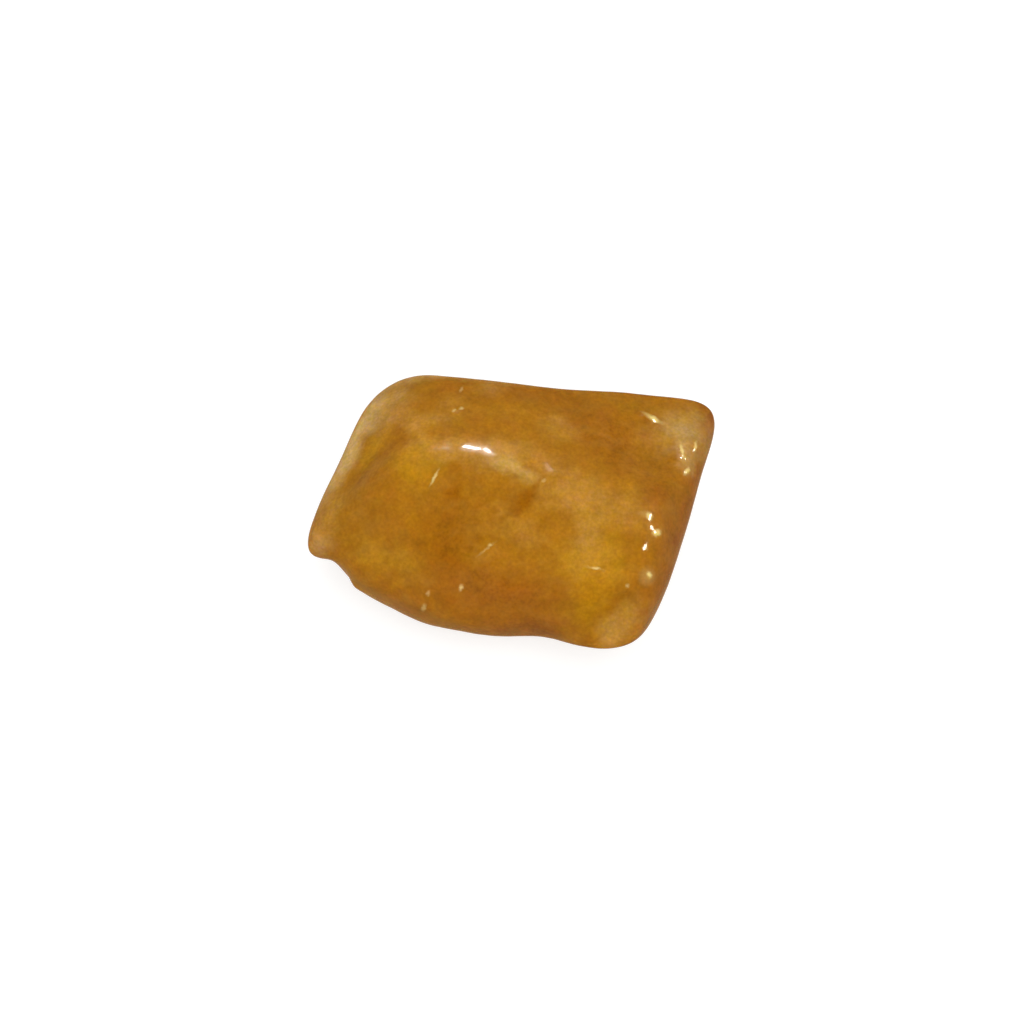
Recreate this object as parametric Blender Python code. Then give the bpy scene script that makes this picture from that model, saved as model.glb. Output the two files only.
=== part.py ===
"""A tumbled piece of raw amber, lying on its flattest side.

One solid: a plump pebble with a four-cornered outline. Its crown and flanks are worn into soft flats that
meet in a long crest. It has a nub with a notch beside it, a hollow by one corner, a ledge at another, a
groove, a crease and a few lumps, and its skin is slightly wavy all over.

The row frame is in metres: the origin is under the middle of the piece, on the plane that it rests on, +X
runs along its length and +Z is up. The sizes below are in millimetres.
"""

import math

import bmesh
import bpy
import numpy as np

MM = 0.001
QUARTER_TURN = math.pi / 2

AMBER_COLOUR = (0.372, 0.142, 0.006, 1)
AMBER_ROUGHNESS = 0.2
AMBER_IOR = 1.54

# How finely the solid is cut: round the outline, and from the middle of the underside to that of the crown.
# The rings are gathered towards both middles, which a gathering of 1 would leave bare.
AROUND = 84
ALONG = 48
GATHERING = 1.5

# The piece seen from above: the cage of a smooth closed curve, counter-clockwise from the far right corner.
OUTLINE = [
    (13.95, 5.10),
    (14.45, 7.00),
    (13.40, 8.55),
    (9.55, 8.36),  # far side
    (5.60, 8.44),
    (1.60, 8.92),
    (-2.40, 9.43),
    (-5.40, 9.75),
    (-7.86, 10.22),  # far left corner, the broad one
    (-9.58, 8.82),
    (-10.56, 7.08),
    (-11.65, 4.76),  # left side
    (-12.88, 1.88),
    (-13.59, -0.38),
    (-14.20, -2.10),  # near left corner, which carries the nub
    (-13.10, -3.10),
    (-11.60, -3.80),
    (-10.45, -5.20),
    (-8.34, -6.28),  # near side, one long curve
    (-5.64, -7.82),
    (-2.72, -8.58),
    (0.30, -8.42),
    (2.20, -8.40),
    (4.20, -9.55),
    (6.40, -10.22),  # near right corner
    (8.55, -9.45),
    (9.70, -7.57),
    (10.91, -4.79),  # right side
    (12.28, -0.60),
    (13.10, 2.60),
]

# The pebble before it is worn: the middle of its crown and of its underside, the height of its widest line
# and how that climbs along X and Y, how far it swells above and below, and how full its sides are.
CROWN_MIDDLE = (-0.4, 0.6)
UNDERSIDE_MIDDLE = (0.8, -0.2)
RIM_HEIGHT = 4.6
RIM_CLIMB = (0.045, 0.04)
CROWN_RISE = 5.9
UNDERSIDE_DROP = 5.7
PLAN_FULLNESS = 0.62
SIDE_FULLNESS = 0.86

# Soft flats: a point on each, the way it faces (degrees round from +X, degrees above the horizon), and how
# far its edge is rounded.
FLATS = {
    "near left face": ((-4.5, -2.0, 9.00), (-115, 82), 1.4),
    "near right face": ((4.5, -3.5, 8.75), (-75, 81), 1.4),
    "far left face": ((-3.0, 6.0, 8.55), (92, 72), 1.2),
    "far right face": ((5.5, 4.0, 8.22), (58, 71), 1.2),
    "left flank": ((-10.4, 2.0, 7.2), (160, 52), 1.2),
    "far left corner": ((-8.8, 7.2, 7.4), (128, 46), 1.2),
    "right flank": ((11.4, -1.0, 6.9), (-14, 40), 0.9),
    "near flank": ((-2.0, -7.3, 6.9), (-94, 46), 1.1),
    "near left flank": ((-9.8, -3.9, 6.6), (-128, 56), 1.2),
    "under left": ((-10.0, 2.0, 1.6), (170, -48), 1.2),
    "under right": ((9.5, 1.0, 1.2), (10, -62), 1.0),
    "under near": ((0.0, -6.2, 1.2), (-80, -58), 1.2),
}

# Creases: both ends as (x, y), their width and how deep they are.
CREASES = {
    "left groove": ((-7.4, 4.9), (-12.2, -0.2), 0.9, 0.32),
    "crest crease": ((2.3, 2.4), (-1.7, -4.6), 0.8, 0.18),
    "ledge": ((9.6, -5.6), (5.6, -9.4), 0.8, 0.45),
}

# Hollows (negative) and lumps: middle, the way it faces, how far it reaches, and how far it moves the skin.
SWELLS = {
    "corner hollow": ((9.6, 3.2, 7.8), (60, 75), 2.4, -0.70),
    "nub": ((-13.8, -2.8, 4.0), (-160, 0), 1.1, 0.50),
    "notch": ((-12.5, -4.1, 3.2), (-110, -5), 1.05, -0.70),
    "notch lip": ((-11.0, -5.1, 3.4), (-140, -5), 0.7, 0.25),
    "near right lobe": ((7.8, -8.6, 6.0), (-60, 40), 1.6, 0.25),
    "near dent": ((-3.5, -7.2, 1.4), (-100, -35), 2.2, -0.45),
    "far dent": ((3.5, 8.2, 2.4), (85, -30), 2.4, -0.50),
    "far left dent": ((-6.5, 8.6, 2.4), (110, -30), 2.4, -0.45),
    "right dent": ((12.0, 1.5, 1.6), (-5, -40), 1.7, -0.45),
    "under left hollow": ((-7.5, 3.5, 0.8), (180, -70), 3.0, -0.60),
}

# The skin's long waves: how many cross it, their shortest and longest wavelength, and their height.
WAVES = 16
WAVE_LENGTHS = (5.0, 13.0)
WAVE_HEIGHT = 0.10

# The width of the flat core that the waves push away from, as a share of the piece's.
CORE_SHARE = 0.6

# How far the edge of the resting face is rounded.
RESTING_WEAR = 0.7


def facing(turn, rise):
    """Unit vector that points `turn` degrees round from +X and `rise` degrees above the horizon."""
    turn, rise = math.radians(turn), math.radians(rise)
    return np.array([math.cos(rise) * math.cos(turn), math.cos(rise) * math.sin(turn), math.sin(rise)])


def outline_at(turns):
    """Points of the outline's closed cubic B-spline, for shares of the way round it."""
    cage = np.array(OUTLINE)
    place = turns * len(cage)
    first = np.floor(place).astype(int)
    f = (place - first)[:, None]
    weights = (
        (1 - f) ** 3 / 6,
        (3 * f**3 - 6 * f**2 + 4) / 6,
        (-3 * f**3 + 3 * f**2 + 3 * f + 1) / 6,
        f**3 / 6,
    )
    return sum(w * cage[(first + k - 1) % len(cage)] for k, w in enumerate(weights))


def pebble(turns, lifts):
    """The unworn pebble: the outline, drawn in and lifted along a full-sided oval arch."""
    share = (np.sin(lifts)[:, None] + 1) / 2
    middle = np.array(UNDERSIDE_MIDDLE) * (1 - share) + np.array(CROWN_MIDDLE) * share
    drawn_in = np.cos(lifts)[:, None] ** PLAN_FULLNESS
    plan = middle + (outline_at(turns) - middle) * drawn_in
    rise = np.sign(lifts) * np.abs(np.sin(lifts)) ** SIDE_FULLNESS
    rim = RIM_HEIGHT + plan @ np.array(RIM_CLIMB)
    return np.column_stack([plan, rim + np.where(lifts > 0, CROWN_RISE, UNDERSIDE_DROP) * rise])


def wear_flat(points, spot, way, wear):
    """Pushes back onto a plane whatever stands past it, with its edge rounded over `wear` each way."""
    normal = facing(*way)
    past = (points - np.array(spot)) @ normal
    t = np.clip(past / wear, -1, 1)
    push = wear / 16 * (1 + t) ** 3 * (3 - t) + np.maximum(past - wear, 0)
    return points - push[:, None] * normal


def press_crease(points, start, end, width, depth):
    """Presses a groove down into the crown, deepest along the middle of the line from start to end."""
    start, along = np.array(start), np.array(end) - np.array(start)
    off = points[:, :2] - start
    t = off @ along / (along @ along)
    aside = np.linalg.norm(off - t[:, None] * along, axis=1)
    ends = np.clip(4 * t * (1 - t), 0, 1)
    crown = np.clip((points[:, 2] - RIM_HEIGHT) / 2, 0, 1)
    points[:, 2] -= depth * np.exp(-((aside / width) ** 2)) * ends * crown
    return points


def swell(points, middle, way, reach, height):
    """Moves the skin near `middle` by `height` in its direction, or back where that is negative."""
    near = np.exp(-((np.linalg.norm(points - np.array(middle), axis=1) / reach) ** 2))
    return points + (height * near)[:, None] * facing(*way)


def ripple(points, count, shortest, longest, height):
    """Moves the skin away from the piece's flat core, and back, by waves that cross it every way."""
    dice = np.random.default_rng(7)
    ways = dice.normal(size=(count, 3))
    ways /= np.linalg.norm(ways, axis=1, keepdims=True)
    lengths = np.geomspace(shortest, longest, count)
    starts = dice.uniform(0, 2 * math.pi, count)
    waves = np.sin(points @ (ways * 2 * math.pi / lengths[:, None]).T + starts)
    heights = height * lengths / longest
    spokes = points * (1 - CORE_SHARE, 1 - CORE_SHARE, 1) - (0, 0, RIM_HEIGHT)
    outwards = spokes / np.linalg.norm(spokes, axis=1, keepdims=True)
    return points + (waves @ heights)[:, None] * outwards


def amber_surface(turns, lifts):
    """The finished skin, in millimetres: it rests at height 0, with the origin under its middle."""
    points = pebble(turns, lifts)
    for spot, way, wear in FLATS.values():
        points = wear_flat(points, spot, way, wear)
    for start, end, width, depth in CREASES.values():
        points = press_crease(points, start, end, width, depth)
    for middle, way, reach, height in SWELLS.values():
        points = swell(points, middle, way, reach, height)
    points = ripple(points, WAVES, *WAVE_LENGTHS, WAVE_HEIGHT / math.sqrt(WAVES / 2))
    points = wear_flat(points, (0, 0, 0), (0, -90), RESTING_WEAR)
    points[:, :2] -= (points[:, :2].min(axis=0) + points[:, :2].max(axis=0)) / 2
    return points


def amber_material():
    material = bpy.data.materials.new("amber")
    material.use_nodes = True
    shader = material.node_tree.nodes["Principled BSDF"]
    shader.inputs["Base Color"].default_value = AMBER_COLOUR
    shader.inputs["Roughness"].default_value = AMBER_ROUGHNESS
    shader.inputs["Metallic"].default_value = 0
    shader.inputs["IOR"].default_value = AMBER_IOR
    return material


def make_amber(collection):
    """A UV sphere whose every point is moved to where its direction lies on the amber."""
    mesh = bpy.data.meshes.new("amber")
    shape = bmesh.new()
    bmesh.ops.create_uvsphere(shape, u_segments=AROUND, v_segments=ALONG, radius=1)
    where = np.array([v.co for v in shape.verts])
    turns = np.arctan2(where[:, 1], where[:, 0]) / (2 * math.pi) % 1
    rings = np.arcsin(np.clip(where[:, 2], -1, 1)) / QUARTER_TURN
    lifts = QUARTER_TURN * np.sign(rings) * (1 - (1 - np.abs(rings)) ** GATHERING)
    for vert, place in zip(shape.verts, amber_surface(turns, lifts) * MM):
        vert.co = place
    bmesh.ops.recalc_face_normals(shape, faces=shape.faces)
    shape.to_mesh(mesh)
    shape.free()
    mesh.shade_smooth()
    mesh.materials.append(amber_material())
    amber = bpy.data.objects.new("amber", mesh)
    collection.objects.link(amber)
    return amber


def main():
    for obj in list(bpy.data.objects):
        bpy.data.objects.remove(obj)
    collection = bpy.data.collections.new("raw_amber_piece")
    bpy.context.scene.collection.children.link(collection)
    make_amber(collection)


main()
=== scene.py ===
# A tumbled piece of cloudy honey amber on a pale table top.
# The skin is one numpy surface, worn, creased and dented like the real pebble, and it takes the place of the
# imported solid. Lengths in the amber's and the resin's dictionaries are millimetres, those in the studio's are
# metres, and turns and rises are degrees round from +X and above the horizon.
import math

import bpy
import numpy as np
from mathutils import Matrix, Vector


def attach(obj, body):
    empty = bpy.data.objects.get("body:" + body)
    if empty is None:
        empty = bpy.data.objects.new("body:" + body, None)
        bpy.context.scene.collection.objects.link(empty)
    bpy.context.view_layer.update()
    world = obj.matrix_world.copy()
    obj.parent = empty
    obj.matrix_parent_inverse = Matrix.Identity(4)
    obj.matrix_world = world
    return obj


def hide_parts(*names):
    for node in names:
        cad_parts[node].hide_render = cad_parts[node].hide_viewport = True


mm = 0.001

print("stage 1: loading the packed solid")
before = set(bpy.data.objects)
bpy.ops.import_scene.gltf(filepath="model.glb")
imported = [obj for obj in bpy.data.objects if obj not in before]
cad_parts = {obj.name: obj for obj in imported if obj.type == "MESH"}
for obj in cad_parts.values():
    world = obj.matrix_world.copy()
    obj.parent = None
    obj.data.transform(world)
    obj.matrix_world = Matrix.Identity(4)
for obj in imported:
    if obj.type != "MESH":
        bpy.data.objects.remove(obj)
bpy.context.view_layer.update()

amber = {
    "around": 520,  # grid points round the outline, for just under 200,000 triangles in all
    "ringsBelow": 56,  # rings of the grid from the middle of the underside up to the outline
    "ringsAbove": 134,  # and on up to the middle of the crown
    "gathering": 1.5,  # how much the rings gather towards both middles
    # seen from above, counter-clockwise from the far right corner
    "outline": [
        (13.95, 5.10), (14.45, 7.00), (13.40, 8.55),
        (9.55, 8.36), (5.60, 8.44), (1.60, 8.92), (-2.40, 9.43), (-5.40, 9.75),  # far side
        (-7.86, 10.22), (-9.58, 8.82), (-10.56, 7.08),  # far left corner
        (-11.65, 4.76), (-12.88, 1.88), (-13.59, -0.38), (-14.20, -2.10),  # left side
        (-13.10, -3.10), (-11.60, -3.80), (-10.45, -5.20),
        (-8.34, -6.28), (-5.64, -7.82), (-2.72, -8.58), (0.30, -8.42), (2.20, -8.40),  # near side
        (4.20, -9.55), (6.40, -10.22), (8.55, -9.45), (9.70, -7.57),  # near right corner
        (10.91, -4.79), (12.28, -0.60), (13.10, 2.60),  # right side
    ],
    # the pebble before it is worn
    "crownMiddle": (-0.4, 0.6),
    "undersideMiddle": (0.8, -0.2),
    "rimHeight": 4.6,
    "rimClimb": (0.045, 0.04),  # how steeply the rim climbs along X and Y
    "crownRise": 5.9,
    "undersideDrop": 5.7,
    "planFullness": 0.62,
    "sideFullness": 0.86,
    # a point on each flat, the way it faces (turn, rise), rounding of its edge
    "flats": {
        "nearLeftFace": ((-4.5, -2.0, 9.00), (-115, 82), 1.4),
        "nearRightFace": ((4.5, -3.5, 8.75), (-75, 81), 1.4),
        "farLeftFace": ((-3.0, 6.0, 8.55), (92, 72), 1.2),
        "farRightFace": ((5.5, 4.0, 8.22), (58, 71), 1.2),
        "leftFlank": ((-10.4, 2.0, 7.2), (160, 52), 1.2),
        "farLeftCorner": ((-8.8, 7.2, 7.4), (128, 46), 1.2),
        "rightFlank": ((11.4, -1.0, 6.9), (-14, 40), 0.9),
        "nearFlank": ((-2.0, -7.3, 6.9), (-94, 46), 1.1),
        "nearLeftFlank": ((-9.8, -3.9, 6.6), (-128, 56), 1.2),
        "underLeft": ((-10.0, 2.0, 1.6), (170, -48), 1.2),
        "underRight": ((9.5, 1.0, 1.2), (10, -62), 1.0),
        "underNear": ((0.0, -6.2, 1.2), (-80, -58), 1.2),
    },
    # both ends from above, width, depth
    "creases": {
        "leftGroove": ((-7.4, 4.9), (-12.2, -0.2), 0.9, 0.32),
        "crestCrease": ((2.3, 2.4), (-1.7, -4.6), 0.8, 0.18),
        "ledge": ((9.6, -5.6), (5.6, -9.4), 0.8, 0.45),
    },
    # middle, the way it faces (turn, rise), reach, height (negative for a hollow)
    "swells": {
        "cornerHollow": ((9.6, 3.2, 7.8), (60, 75), 2.4, -0.70),
        "nub": ((-13.8, -2.8, 4.0), (-160, 0), 1.1, 0.50),
        "notch": ((-12.5, -4.1, 3.2), (-110, -5), 1.05, -0.70),
        "notchLip": ((-11.0, -5.1, 3.4), (-140, -5), 0.7, 0.25),
        "nearRightLobe": ((7.8, -8.6, 6.0), (-60, 40), 1.6, 0.25),
        "nearDent": ((-3.5, -7.2, 1.4), (-100, -35), 2.2, -0.45),
        "farDent": ((3.5, 8.2, 2.4), (85, -30), 2.4, -0.50),
        "farLeftDent": ((-6.5, 8.6, 2.4), (110, -30), 2.4, -0.45),
        "rightDent": ((12.0, 1.5, 1.6), (-5, -40), 1.7, -0.45),
        "underLeftHollow": ((-7.5, 3.5, 0.8), (180, -70), 3.0, -0.60),
    },
    # how the random draw starts, how many, shortest, longest, height
    "longWaves": (7, 16, 5.0, 13.0, 0.10),
    "fineWaves": (3, 40, 0.9, 4.0, 0.012),
    # small ridges, bumps and pits on the crown: both ends from above, width, height (negative for a dimple)
    "marks": {
        "shoulderBumps": [
            ((9.30, -1.75), (9.10, -2.00), 0.45, 0.06),
            ((9.92, -3.03), (9.92, -3.03), 0.50, 0.27),
            ((8.62, -4.29), (8.62, -4.29), 0.42, 0.075),
            ((9.21, -5.93), (9.21, -5.93), 0.32, 0.23),
        ],
        "cornerChips": [
            ((9.25, 6.45), (9.70, 6.25), 0.30, 0.12),
            ((11.72, 4.10), (11.80, 3.30), 0.25, 0.075),
            ((12.62, 4.50), (12.62, 4.00), 0.25, 0.07),
            ((12.14, 2.06), (12.14, 2.06), 0.36, 0.24),
        ],
        "scratches": [
            ((-5.05, 1.20), (-5.60, 0.15), 0.20, 0.05),
            ((4.95, -5.60), (5.90, -5.75), 0.25, 0.11),
            ((-1.20, -3.80), (-2.10, -4.50), 0.20, 0.04),
            ((1.85, 0.30), (2.30, 0.36), 0.22, 0.015),
        ],
        "pits": [
            ((-3.90, -0.35), (-3.90, -0.35), 0.50, -0.05),
            ((-3.48, -6.46), (-3.48, -6.46), 0.25, 0.08),
            ((7.60, -6.70), (7.60, -6.70), 0.25, 0.12),
            ((-3.60, 6.15), (-4.00, 6.05), 0.22, 0.04),
            ((4.53, 6.98), (4.53, 6.98), 0.22, 0.05),
            ((-5.72, -6.62), (-5.72, -6.62), 0.25, 0.09),
        ],
    },
    "coreShare": 0.6,  # the flat core that the waves push away from, as a share of the width
    "restingWear": 0.7,
}


# unit vector: (cos rise cos turn, cos rise sin turn, sin rise)
def facing(turn, rise):
    turn, rise = math.radians(turn), math.radians(rise)
    return np.array([math.cos(rise) * math.cos(turn), math.cos(rise) * math.sin(turn), math.sin(rise)])


# closed uniform cubic B-spline of the outline's cage, at shares of the way round it
def outlineAt(turns):
    cage = np.array(amber["outline"])
    place = turns * len(cage)
    first = np.floor(place).astype(int)
    f = (place - first)[:, None]
    weights = (
        (1 - f) ** 3 / 6,
        (3 * f**3 - 6 * f**2 + 4) / 6,
        (-3 * f**3 + 3 * f**2 + 3 * f + 1) / 6,
        f**3 / 6,
    )
    return sum(w * cage[(first + k - 1) % len(cage)] for k, w in enumerate(weights))


# plan = middle + (outline - middle) cos(lift)^planFullness, height = rim +- rise |sin(lift)|^sideFullness,
# where lift runs from -90 degrees at the middle of the underside to 90 at that of the crown
def pebble(turns, lifts):
    share = (np.sin(lifts)[:, None] + 1) / 2
    middle = np.array(amber["undersideMiddle"]) * (1 - share) + np.array(amber["crownMiddle"]) * share
    drawnIn = np.cos(lifts)[:, None] ** amber["planFullness"]
    plan = middle + (outlineAt(turns) - middle) * drawnIn
    rise = np.sign(lifts) * np.abs(np.sin(lifts)) ** amber["sideFullness"]
    rim = amber["rimHeight"] + plan @ np.array(amber["rimClimb"])
    fullRise = np.where(lifts > 0, amber["crownRise"], amber["undersideDrop"])
    return np.column_stack([plan, rim + fullRise * rise])


# what stands past the plane goes back onto it; the push is wear/16 (1+t)^3 (3-t) over the rounded edge
def wearFlat(points, spot, way, wear):
    normal = facing(*way)
    past = (points - np.array(spot)) @ normal
    t = np.clip(past / wear, -1, 1)
    push = wear / 16 * (1 + t) ** 3 * (3 - t) + np.maximum(past - wear, 0)
    return points - push[:, None] * normal


# down by depth exp(-(aside/width)^2) 4t(1-t) along the line from start to end, on the crown only
def pressCrease(points, start, end, width, depth):
    start, along = np.array(start), np.array(end) - np.array(start)
    off = points[:, :2] - start
    t = off @ along / (along @ along)
    aside = np.linalg.norm(off - t[:, None] * along, axis=1)
    ends = np.clip(4 * t * (1 - t), 0, 1)
    crown = np.clip((points[:, 2] - amber["rimHeight"]) / 2, 0, 1)
    points[:, 2] -= depth * np.exp(-((aside / width) ** 2)) * ends * crown
    return points


# out by height exp(-(distance/reach)^2) along the way it faces
def swell(points, middle, way, reach, height):
    near = np.exp(-((np.linalg.norm(points - np.array(middle), axis=1) / reach) ** 2))
    return points + (height * near)[:, None] * facing(*way)


# up by height exp(-(distance in plan from the line start to end/width)^2), on the crown only
def pressMark(points, start, end, width, height):
    start, along = np.array(start), np.array(end) - np.array(start)
    off = points[:, :2] - start
    t = np.clip(off @ along / max(along @ along, 1e-9), 0, 1)
    aside = np.linalg.norm(off - t[:, None] * along, axis=1)
    points[:, 2] += height * np.exp(-((aside / width) ** 2)) * (points[:, 2] > amber["rimHeight"])
    return points


# out from the flat core by a sum of sines that cross the piece every way, the longer the higher
def ripple(points, seed, count, shortest, longest, height):
    dice = np.random.default_rng(seed)
    ways = dice.normal(size=(count, 3))
    ways /= np.linalg.norm(ways, axis=1, keepdims=True)
    lengths = np.geomspace(shortest, longest, count)
    starts = dice.uniform(0, 2 * math.pi, count)
    waves = np.sin(points @ (ways * 2 * math.pi / lengths[:, None]).T + starts)
    heights = height / math.sqrt(count / 2) * lengths / longest
    share = 1 - amber["coreShare"]
    spokes = points * (share, share, 1) - (0, 0, amber["rimHeight"])
    outwards = spokes / np.linalg.norm(spokes, axis=1, keepdims=True)
    return points + (waves @ heights)[:, None] * outwards


# the pebble, worn to flats, creased, dented, rippled and marked, then worn flat at height 0 and centred
def amberSkin(turns, lifts):
    points = pebble(turns, lifts)
    for spot, way, wear in amber["flats"].values():
        points = wearFlat(points, spot, way, wear)
    for start, end, width, depth in amber["creases"].values():
        points = pressCrease(points, start, end, width, depth)
    for middle, way, reach, height in amber["swells"].values():
        points = swell(points, middle, way, reach, height)
    points = ripple(points, *amber["longWaves"])
    for group in amber["marks"].values():
        for start, end, width, height in group:
            points = pressMark(points, start, end, width, height)
    points = ripple(points, *amber["fineWaves"])
    points = wearFlat(points, (0, 0, 0), (0, -90), amber["restingWear"])
    points[:, :2] -= (points[:, :2].min(axis=0) + points[:, :2].max(axis=0)) / 2
    return points


# grid of turn by lift with one point at each middle, lift = quarter turn (1 - (1 - ring)^gathering)
def makeAmber():
    around = amber["around"]
    below, above = np.linspace(-1, 0, amber["ringsBelow"] + 1), np.linspace(0, 1, amber["ringsAbove"] + 1)
    rings = np.concatenate([below[1:], above[1:-1]])
    lifts = math.pi / 2 * np.sign(rings) * (1 - (1 - np.abs(rings)) ** amber["gathering"])
    turns = np.arange(around) / around
    gridTurns, gridLifts = np.meshgrid(turns, lifts)
    gridTurns = np.concatenate([gridTurns.ravel(), [0, 0]])
    gridLifts = np.concatenate([gridLifts.ravel(), [-math.pi / 2, math.pi / 2]])
    points = amberSkin(gridTurns, gridLifts) * mm
    here = np.arange(around)
    after = (here + 1) % around
    rows = np.arange(len(lifts) - 1)[:, None] * around
    quads = np.stack([rows + here, rows + after, rows + around + after, rows + around + here], axis=-1)
    bottom, top, lastRow = len(points) - 2, len(points) - 1, (len(lifts) - 1) * around
    under = np.column_stack([after, here, np.full(around, bottom)])
    over = np.column_stack([lastRow + here, lastRow + after, np.full(around, top)])
    mesh = bpy.data.meshes.new("amberPiece")
    mesh.from_pydata(points.tolist(), [], quads.reshape(-1, 4).tolist() + under.tolist() + over.tolist())
    mesh.shade_smooth()
    piece = bpy.data.objects.new("amberPiece", mesh)
    bpy.context.scene.collection.objects.link(piece)
    return piece


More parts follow.
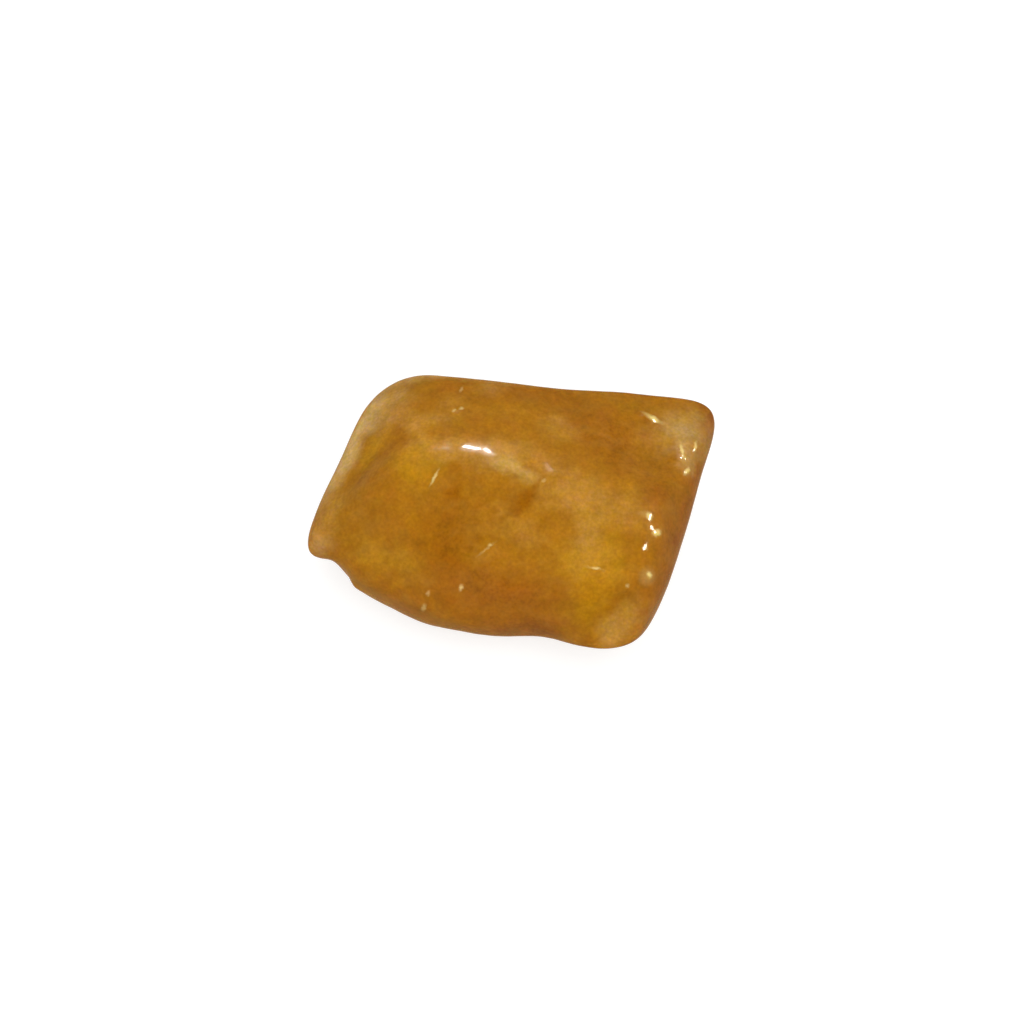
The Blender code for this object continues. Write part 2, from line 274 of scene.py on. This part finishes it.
resin = {
    # linear colours
    "honey": (0.480, 0.205, 0.008),
    "tints": {
        "tan": (0.640, 0.335, 0.055),
        "pale": (0.800, 0.520, 0.170),
        "yellow": (0.640, 0.330, 0.012),
        "olive": (0.500, 0.215, 0.000),
        "brown": (0.390, 0.132, 0.006),
        "dark": (0.360, 0.115, 0.000),
        "rust": (0.285, 0.081, 0.010),
        "straw": (0.720, 0.590, 0.240),
        "chipAndPaintedGlint": (1.000, 0.770, 0.280),
    },
    "blotches": (5.5, 2, 0, 0.55),  # brown noise under the clouds: size, detail, weakest, strongest
    # tint, middle, half lengths, turn, strength; clouds, chips and painted glints are about as many as one
    # Cycles shader has room for, and with a few more the amber renders black
    "clouds": [
        ("brown", (-1.0, -7.2, 7.5), (6.0, 2.6, 4.0), -6, 1.00),  # near side
        ("brown", (-7.0, -6.8, 5.6), (4.5, 1.3, 4.0), -32, 0.45),
        ("brown", (-4.6, -6.0, 8.0), (2.9, 2.4, 3.0), 0, 0.60),
        ("dark", (-4.2, -4.5, 8.6), (1.8, 1.3, 2.0), 0, 0.50),
        ("rust", (1.0, -8.6, 4.5), (6.0, 1.2, 2.5), 0, 0.65),
        ("brown", (7.2, 4.9, 7.5), (4.6, 2.8, 3.0), -10, 0.65),  # far side
        ("brown", (6.4, 3.6, 8.0), (3.4, 3.0, 3.0), 0, 0.50),
        ("brown", (9.7, -0.6, 8.4), (2.6, 1.7, 2.0), 70, 0.90),
        ("brown", (8.0, 1.9, 8.2), (2.2, 1.5, 2.0), -20, 0.75),
        ("brown", (1.2, 7.6, 7.3), (5.0, 1.5, 3.0), -4, 0.55),
        ("rust", (9.0, 8.4, 5.0), (5.5, 1.2, 3.0), -2, 0.60),
        ("pale", (-3.6, 9.3, 5.5), (7.0, 1.2, 3.0), -3, 0.78),
        ("tan", (3.4, 4.8, 8.2), (2.2, 1.2, 2.0), -10, 0.35),
        ("tan", (-1.9, 8.0, 7.4), (1.6, 1.0, 2.0), 0, 0.45),
        ("dark", (-4.8, -3.2, 9.0), (3.4, 2.6, 3.0), 20, 0.50),
        ("dark", (-4.6, 1.2, 9.3), (1.5, 0.8, 2.0), 10, 0.30),
        ("rust", (12.1, -2.6, 5.0), (11.0, 3.4, 5.0), 72, 1.00),  # steep right flank
        ("rust", (14.0, 5.6, 5.0), (3.5, 1.2, 3.0), 78, 0.70),
        # painted sheen: these tan and pale clouds along the crest paint the haze round the main highlight
        ("tan", (-2.4, 2.5, 9.5), (6.0, 1.6, 4.0), -3, 0.75),  # along the crest
        ("pale", (0.0, 1.3, 9.4), (2.4, 0.9, 2.0), -30, 0.55),
        ("tan", (4.4, -0.7, 9.3), (4.6, 2.2, 4.0), -22, 0.58),
        ("tan", (0.4, -2.8, 8.8), (2.2, 1.4, 2.0), -30, 0.25),
        ("tan", (8.2, -1.6, 8.6), (2.6, 2.0, 3.0), -35, 0.30),
        ("yellow", (5.2, -4.8, 8.2), (3.2, 3.3, 4.0), 0, 0.52),
        ("olive", (5.6, -7.7, 7.0), (2.9, 2.0, 3.0), 20, 1.00),
        ("tan", (4.9, -3.4, 8.6), (1.6, 2.6, 2.0), -20, 0.50),
        ("tan", (7.0, -9.0, 6.3), (2.9, 1.2, 4.0), 40, 0.72),  # near right lobe and its ledge
        ("rust", (9.3, -7.9, 6.0), (0.9, 1.5, 3.0), -35, 0.35),
        # painted shade along the ledge
        ("dark", (7.1, -7.2, 7.4), (2.4, 0.7, 3.0), 45, 0.40),
        ("dark", (-3.6, -7.4, 6.6), (2.0, 0.9, 2.0), -10, 0.35),
        ("straw", (11.9, 5.4, 6.5), (2.7, 2.3, 4.0), -10, 0.35),  # far right corner
        ("rust", (13.6, 7.4, 5.5), (1.4, 2.4, 3.0), 35, 0.60),
        ("pale", (11.8, 3.2, 6.6), (0.8, 1.5, 3.0), -8, 0.50),
        ("tan", (9.7, 4.6, 6.8), (1.6, 1.6, 3.0), 0, 0.35),
        ("pale", (-11.1, 4.7, 5.5), (7.0, 1.25, 4.0), 64, 0.95),  # left rim and its groove
        ("pale", (-8.6, 7.0, 6.5), (2.8, 2.2, 3.0), 50, 0.50),
        ("tan", (-12.4, -0.6, 6.0), (2.6, 1.0, 4.0), 64, 0.55),
        # painted shade at the top of the groove
        ("dark", (-7.6, 4.4, 8.3), (0.8, 1.1, 2.0), 0, 0.40),
        ("yellow", (-9.6, 3.8, 7.3), (2.2, 1.0, 2.0), 55, 0.50),
        ("tan", (-6.6, 3.6, 8.8), (1.4, 1.6, 2.0), 0, 0.50),
        ("yellow", (-6.6, 1.6, 9.2), (2.6, 2.0, 3.0), 10, 0.60),
        ("yellow", (-8.6, -4.3, 7.2), (4.2, 1.7, 3.0), -28, 0.30),
        ("pale", (-13.3, -2.6, 5.0), (1.5, 1.4, 3.0), 0, 0.30),  # the nub
        ("dark", (-3.9, -0.2, 9.3), (1.3, 1.1, 1.5), 0, 0.60),  # painted shade in the dimple
        ("dark", (0.5, -1.0, 9.3), (2.6, 0.4, 1.5), 50, 0.85),  # painted shade down the crease
        # painted shade down the crease
        ("dark", (-0.1, -1.3, 9.3), (1.1, 0.9, 1.5), 50, 0.50),
        ("tan", (-4.4, 6.0, 8.2), (2.2, 1.2, 1.5), 20, 0.20),
        ("brown", (-4.2, 7.7, 7.9), (2.2, 1.2, 2.0), 5, 0.45),
        ("tan", (-6.4, 5.3, 8.4), (3.2, 1.2, 2.0), -5, 0.55),
    ],
    "curling": 1.1,  # how far the clouds' edges wander
    # size, detail, how far it brightens and darkens, and how far red, green and blue part
    "mottling": [
        (1.3, 2, 0.10, (0.00, 0.03, 0.25)),
        (0.55, 2, 0.08, (0.00, 0.03, 0.20)),
        (0.22, 2, 0.12, (0.00, 0.02, 0.25)),
    ],
    "wispTurn": -58,  # turns the noise that the wisps are cut from
    "wispScale": (0.50, 1.0, 0.7),  # the smaller, the longer the wisps are that way
    "wispStrength": 0.15,
    "wispBand": (0.50, 0.75),  # the stretch of the noise that shows as wisps
    "chipAndGlintRagging": 0.12,  # how far the chips' edges wander
    # pale chips and scratches, most of them painted glints as bright as highlights: middle, half lengths, turn,
    # strength
    "chipsAndPaintedGlints": [
        # painted glints: the near-white cores on the shoulder bumps, the corner chips and the small dots stand
        # in for the highlights these catch
        ((8.90, -1.75, 8.6), (0.60, 0.40, 0.8), -10, 0.20),
        ((9.10, -1.84, 8.6), (0.28, 0.38, 0.8), 20, 0.90),
        ((9.60, -2.94, 8.3), (0.44, 0.30, 0.8), 35, 0.95),
        ((8.78, -4.03, 8.4), (0.24, 0.22, 0.8), 0, 0.50),
        ((8.98, -5.85, 7.8), (0.80, 0.80, 0.8), 0, 0.20),
        ((9.09, -5.73, 7.8), (0.24, 0.25, 0.8), 0, 1.00),
        ((9.60, 6.25, 6.6), (1.05, 0.24, 0.8), -28, 0.55),
        ((9.70, 6.14, 6.6), (0.42, 0.26, 0.8), -25, 1.00),
        ((11.58, 3.68, 6.8), (0.14, 0.75, 0.8), 6, 0.90),
        ((12.52, 4.13, 6.6), (0.15, 0.50, 0.8), -10, 0.80),
        ((11.87, 2.10, 6.9), (0.20, 0.46, 0.8), -30, 0.95),
        ((-5.28, 0.72, 9.2), (0.13, 0.80, 0.5), -27, 0.75),
        ((5.40, -5.45, 8.3), (0.75, 0.13, 0.5), -10, 0.30),
        ((5.52, -5.46, 8.3), (0.32, 0.14, 0.5), 0, 0.80),
        ((7.59, -6.50, 7.7), (0.20, 0.18, 0.5), 0, 0.45),
        ((-3.45, -6.42, 7.2), (0.20, 0.28, 0.5), -30, 0.90),
        ((-1.75, -4.15, 8.5), (0.95, 0.13, 0.5), 38, 0.25),
        ((-1.55, -3.90, 8.5), (0.16, 0.16, 0.5), 38, 0.60),
        ((2.07, 0.49, 9.2), (0.22, 0.17, 0.5), 30, 0.32),
        ((-3.53, 6.13, 8.5), (0.22, 0.17, 0.5), 30, 0.55),
        ((-3.55, 7.85, 7.9), (0.13, 0.35, 0.5), -20, 0.35),
        ((-4.05, 6.00, 8.5), (0.22, 0.16, 0.5), 45, 0.45),
        ((-5.70, -6.58, 6.5), (0.22, 0.18, 0.5), 10, 0.40),
        ((-6.05, -7.25, 5.6), (0.34, 0.18, 0.8), 35, 0.40),
    ],
    "seeThrough": 0.25,
    "scatter": 0.45,
    "scatterReach": (1.0, 0.45, 0.12),  # red, green and blue
    "scatterScale": 0.0022,  # metres
    "roughness": 0.16,
    "polish": 1.0,
    "polishRoughness": 0.06,
    "ior": 1.54,
    "mirror": 0.20,  # 0.5 would be clean resin, this skin is finely scuffed
    "depthColour": (1.0, 0.76, 0.25),
    "depthDensity": 250,  # per metre
}


# a node of a kind with its settings
def addNode(tree, kind, **settings):
    node = tree.nodes.new(kind)
    for name, value in settings.items():
        setattr(node, name, value)
    return node


# mixes a colour with a tint by a factor socket
def mixColour(tree, factor, base, tint, blend="MIX"):
    mix = addNode(tree, "ShaderNodeMix", data_type="RGBA", blend_type=blend)
    tree.links.new(factor, mix.inputs["Factor"])
    tree.links.new(base, mix.inputs["A"])
    if isinstance(tint, tuple):
        mix.inputs["B"].default_value = (*tint, 1)
    else:
        tree.links.new(tint, mix.inputs["B"])
    return mix.outputs["Result"]


# stretches a value from one range onto another and stops it at the ends
def addRange(tree, value, fromLow, fromHigh, toLow, toHigh, kind="LINEAR"):
    spread = addNode(tree, "ShaderNodeMapRange", interpolation_type=kind)
    spread.inputs["From Min"].default_value = fromLow
    spread.inputs["From Max"].default_value = fromHigh
    spread.inputs["To Min"].default_value = toLow
    spread.inputs["To Max"].default_value = toHigh
    tree.links.new(value, spread.inputs["Value"])
    return spread.outputs["Result"]


# noise of a size in millimetres, stretched from its usual range onto low..high
def addNoise(tree, place, size, detail, low, high, usual=(0.3, 0.7)):
    noise = addNode(tree, "ShaderNodeTexNoise")
    noise.inputs["Scale"].default_value = 1 / size
    noise.inputs["Detail"].default_value = detail
    tree.links.new(place, noise.inputs["Vector"])
    return addRange(tree, noise.outputs["Fac"], *usual, low, high), noise


# moves a place by noise of a size, up to about a reach each way
def addCurl(tree, place, size, reach):
    _, noise = addNoise(tree, place, size, 3, 0, 1)
    curl = addNode(tree, "ShaderNodeVectorMath", operation="MULTIPLY_ADD")
    curl.inputs[1].default_value = (2 * reach,) * 3
    tree.links.new(noise.outputs["Color"], curl.inputs[0])
    tree.links.new(place, curl.inputs[2])
    back = addNode(tree, "ShaderNodeVectorMath", operation="SUBTRACT")
    back.inputs[1].default_value = (reach,) * 3
    tree.links.new(curl.outputs["Vector"], back.inputs[0])
    return back.outputs["Vector"]


# strength times a smooth fall from the middle of an ellipsoid to just past its skin
def addCloud(tree, place, middle, size, turn, strength, pastSkin=1.25):
    fit = addNode(tree, "ShaderNodeMapping", vector_type="TEXTURE")
    fit.inputs["Location"].default_value = middle
    fit.inputs["Rotation"].default_value = (0, 0, math.radians(turn))
    fit.inputs["Scale"].default_value = size
    tree.links.new(place, fit.inputs["Vector"])
    distance = addNode(tree, "ShaderNodeVectorMath", operation="LENGTH")
    tree.links.new(fit.outputs["Vector"], distance.inputs[0])
    return addRange(tree, distance.outputs["Value"], 0, pastSkin, strength, 0, "SMOOTHERSTEP")


# honey resin, clouded by tinted ellipsoids with curled edges (some of them painted shade and painted sheen),
# mottled by noise, wisped, and marked with pale chips and painted glints; the mottling stretches each channel's
# noise from 0.3..0.7 onto
# 1 - part..1 + part
def amberMaterial():
    material = bpy.data.materials.new("cloudyAmber")
    material.use_nodes = True
    tree = material.node_tree
    shader = tree.nodes["Principled BSDF"]
    spot = addNode(tree, "ShaderNodeTexCoord")
    inMm = addNode(tree, "ShaderNodeMapping")
    inMm.inputs["Scale"].default_value = (1 / mm, 1 / mm, 1 / mm)
    tree.links.new(spot.outputs["Object"], inMm.inputs["Vector"])
    place = inMm.outputs["Vector"]
    curled = addCurl(tree, place, 2 * resin["curling"], resin["curling"])

    base = addNode(tree, "ShaderNodeRGB")
    base.outputs["Color"].default_value = (*resin["honey"], 1)
    colour = base.outputs["Color"]
    blotch, _ = addNoise(tree, curled, *resin["blotches"])
    colour = mixColour(tree, blotch, colour, resin["tints"]["brown"])
    for tint, middle, size, turn, strength in resin["clouds"]:
        cloud = addCloud(tree, curled, middle, size, turn, strength)
        colour = mixColour(tree, cloud, colour, resin["tints"][tint])
    for size, detail, common, apart in resin["mottling"]:
        brighter, speckle = addNoise(tree, place, size, detail, 1 - common, 1 + common)
        tinted = addNode(tree, "ShaderNodeVectorMath", operation="MULTIPLY_ADD")
        tinted.inputs[1].default_value = [5 * part for part in apart]
        tinted.inputs[2].default_value = [1 - 2.5 * part for part in apart]
        tree.links.new(speckle.outputs["Color"], tinted.inputs[0])
        toned = addNode(tree, "ShaderNodeVectorMath", operation="MULTIPLY")
        tree.links.new(colour, toned.inputs[0])
        tree.links.new(tinted.outputs["Vector"], toned.inputs[1])
        speckled = addNode(tree, "ShaderNodeVectorMath", operation="SCALE")
        tree.links.new(toned.outputs["Vector"], speckled.inputs[0])
        tree.links.new(brighter, speckled.inputs["Scale"])
        colour = speckled.outputs["Vector"]
    wisps = addNode(tree, "ShaderNodeMapping")
    wisps.inputs["Rotation"].default_value = (0, 0, math.radians(resin["wispTurn"]))
    wisps.inputs["Scale"].default_value = resin["wispScale"]
    tree.links.new(curled, wisps.inputs["Vector"])
    wisp, _ = addNoise(tree, wisps.outputs["Vector"], 1, 2, 0, resin["wispStrength"], resin["wispBand"])
    colour = mixColour(tree, wisp, colour, resin["tints"]["tan"])
    # pale chips and scratches, most of them painted glints
    ragged = addCurl(tree, place, resin["chipAndGlintRagging"] * 2, resin["chipAndGlintRagging"])
    for middle, size, turn, strength in resin["chipsAndPaintedGlints"]:
        chipAndPaintedGlint = addCloud(tree, ragged, middle, size, turn, strength)
        colour = mixColour(tree, chipAndPaintedGlint, colour, resin["tints"]["chipAndPaintedGlint"])
    tree.links.new(colour, shader.inputs["Base Color"])

    shader.inputs["Transmission Weight"].default_value = resin["seeThrough"]
    shader.inputs["Subsurface Weight"].default_value = resin["scatter"]
    shader.inputs["Subsurface Radius"].default_value = resin["scatterReach"]
    shader.inputs["Subsurface Scale"].default_value = resin["scatterScale"]
    shader.inputs["Roughness"].default_value = resin["roughness"]
    shader.inputs["Coat Weight"].default_value = resin["polish"]
    shader.inputs["Coat Roughness"].default_value = resin["polishRoughness"]
    shader.inputs["IOR"].default_value = resin["ior"]
    shader.inputs["Specular IOR Level"].default_value = resin["mirror"]
    depth = addNode(tree, "ShaderNodeVolumeAbsorption")
    depth.inputs["Color"].default_value = (*resin["depthColour"], 1)
    depth.inputs["Density"].default_value = resin["depthDensity"]
    tree.links.new(depth.outputs["Volume"], tree.nodes["Material Output"].inputs["Volume"])
    return material


print("stage 2: shaping the amber")
piece = makeAmber()
piece.data.materials.append(amberMaterial())
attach(piece, "root")
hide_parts("amber")

studio = {
    "floorSize": 1.6,
    "floorDrop": 0.00005,  # below the resting face, so that the two skins don't share a plane
    "floorColour": (0.38, 0.38, 0.375),
    "floorGlow": 0.70,  # the floor is a light table, so that shadows on it stay pale
    "floorRoughness": 0.7,
    "sky": (0.55, 0.55, 0.55),
    # what the skin mirrors, and between which heights of the mirrored way that fades; 1 is straight up
    "mirroredBeside": ((0.05, 0.045, 0.045), (0.60, 0.95)),
    "mirroredBelow": ((0.37, 0.215, 0.100), (-0.60, 0.05)),
    "nearSideGlow": (0.1, (-0.60, 0.20)),  # the share of the glow below on the near side, and where it grows
    "cameraTurn": -90,
    "cameraRise": 68,
    "cameraDistance": 0.166,
    "cameraAim": (-0.00007, -0.00007, 0.005),
    "cameraLens": 85,  # millimetres
    # turn, rise, distance, size across and up, power, whether it glints, colour
    "lights": {
        "keyLight": (93.5, 51, 0.30, (0.026, 0.009), 0.056, True, (1, 1, 1)),
        "keyHalo": (93, 53, 0.30, (0.070, 0.040), 0.013, True, (1.0, 0.99, 1.0)),
        "sideLight": (20, 50, 0.35, (0.09, 0.08), 0.40, True, (1.0, 0.94, 0.75)),
        "softLight": (-60, 70, 0.60, (0.7, 0.7), 2.6, False, (0.96, 1.0, 1.0)),
        "farLight": (80, 45, 0.60, (0.3, 0.3), 0.8, False, (1, 1, 1)),
        "fillLight": (-110, 18, 0.60, (0.4, 0.3), 0.35, False, (1, 1, 1)),
    },
}


# a square sheet that glows a little, just under the piece
def makeFloor():
    half = studio["floorSize"] / 2
    corners = [(-half, -half), (half, -half), (half, half), (-half, half)]
    mesh = bpy.data.meshes.new("tableTop")
    mesh.from_pydata([(x, y, -studio["floorDrop"]) for x, y in corners], [], [(0, 1, 2, 3)])
    floor = bpy.data.objects.new("tableTop", mesh)
    bpy.context.scene.collection.objects.link(floor)
    material = bpy.data.materials.new("paleTable")
    material.use_nodes = True
    shader = material.node_tree.nodes["Principled BSDF"]
    shader.inputs["Base Color"].default_value = (*studio["floorColour"], 1)
    shader.inputs["Emission Color"].default_value = (1, 1, 1, 1)
    shader.inputs["Emission Strength"].default_value = studio["floorGlow"]
    shader.inputs["Roughness"].default_value = studio["floorRoughness"]
    mesh.materials.append(material)
    floor.visible_glossy = False  # the resin doesn't mirror the pale table


# an area light at a turn, rise and distance from the aim point, facing it;
# one that glints is only mirrored by the skin, the others only light it
def makeLight(name, turn, rise, distance, size, power, glints, colour):
    light = bpy.data.lights.new(name, "AREA")
    light.shape = "ELLIPSE"
    light.size, light.size_y = size
    light.energy = power
    light.color = colour
    lamp = bpy.data.objects.new(name, light)
    bpy.context.scene.collection.objects.link(lamp)
    way = Vector(facing(turn, rise))
    lamp.location = Vector(studio["cameraAim"]) + way * distance
    lamp.rotation_euler = way.to_track_quat("Z", "Y").to_euler()
    lamp.visible_diffuse = not glints
    lamp.visible_glossy = glints
    lamp.visible_transmission = glints


# even pale air for light and view; the skin mirrors black overhead, a dim grey beside and a warm glow below
def makeAir():
    world = bpy.data.worlds.new("studioAir")
    world.use_nodes = True
    tree = world.node_tree
    way = addNode(tree, "ShaderNodeTexCoord")
    height = addNode(tree, "ShaderNodeSeparateXYZ")
    tree.links.new(way.outputs["Generated"], height.inputs["Vector"])
    besideColour, besideFades = studio["mirroredBeside"]
    belowColour, belowFades = studio["mirroredBelow"]
    nearShare, nearFades = studio["nearSideGlow"]
    beside = addRange(tree, height.outputs["Z"], *besideFades, 1, 0)
    below = addRange(tree, height.outputs["Z"], *belowFades, 1, 0)
    beyond = addRange(tree, height.outputs["Y"], *nearFades, nearShare, 1)
    glow = addNode(tree, "ShaderNodeMath", operation="MULTIPLY")
    tree.links.new(below, glow.inputs[0])
    tree.links.new(beyond, glow.inputs[1])
    black = addNode(tree, "ShaderNodeRGB")
    black.outputs["Color"].default_value = (0, 0, 0, 1)
    mirrored = mixColour(tree, beside, black.outputs["Color"], besideColour)
    mirrored = mixColour(tree, glow.outputs["Value"], mirrored, belowColour)
    sky = addNode(tree, "ShaderNodeRGB")
    sky.outputs["Color"].default_value = (*studio["sky"], 1)
    path = addNode(tree, "ShaderNodeLightPath")
    seen = mixColour(tree, path.outputs["Is Glossy Ray"], sky.outputs["Color"], mirrored)
    tree.links.new(seen, tree.nodes["Background"].inputs["Color"])
    bpy.context.scene.world = world


# looks at the aim point from a turn, rise and distance
def makeCamera():
    camera = bpy.data.cameras.new("camera")
    camera.lens = studio["cameraLens"]
    camera.clip_start = 0.01
    eye = bpy.data.objects.new("camera", camera)
    bpy.context.scene.collection.objects.link(eye)
    way = Vector(facing(studio["cameraTurn"], studio["cameraRise"]))
    eye.location = Vector(studio["cameraAim"]) + way * studio["cameraDistance"]
    eye.rotation_euler = way.to_track_quat("Z", "Y").to_euler()
    bpy.context.scene.camera = eye


print("stage 3: setting up the studio")
makeFloor()
for name, light in studio["lights"].items():
    makeLight(name, *light)
makeAir()
bpy.context.scene.view_settings.view_transform = "Standard"
makeCamera()

print("stage 4: handing over")
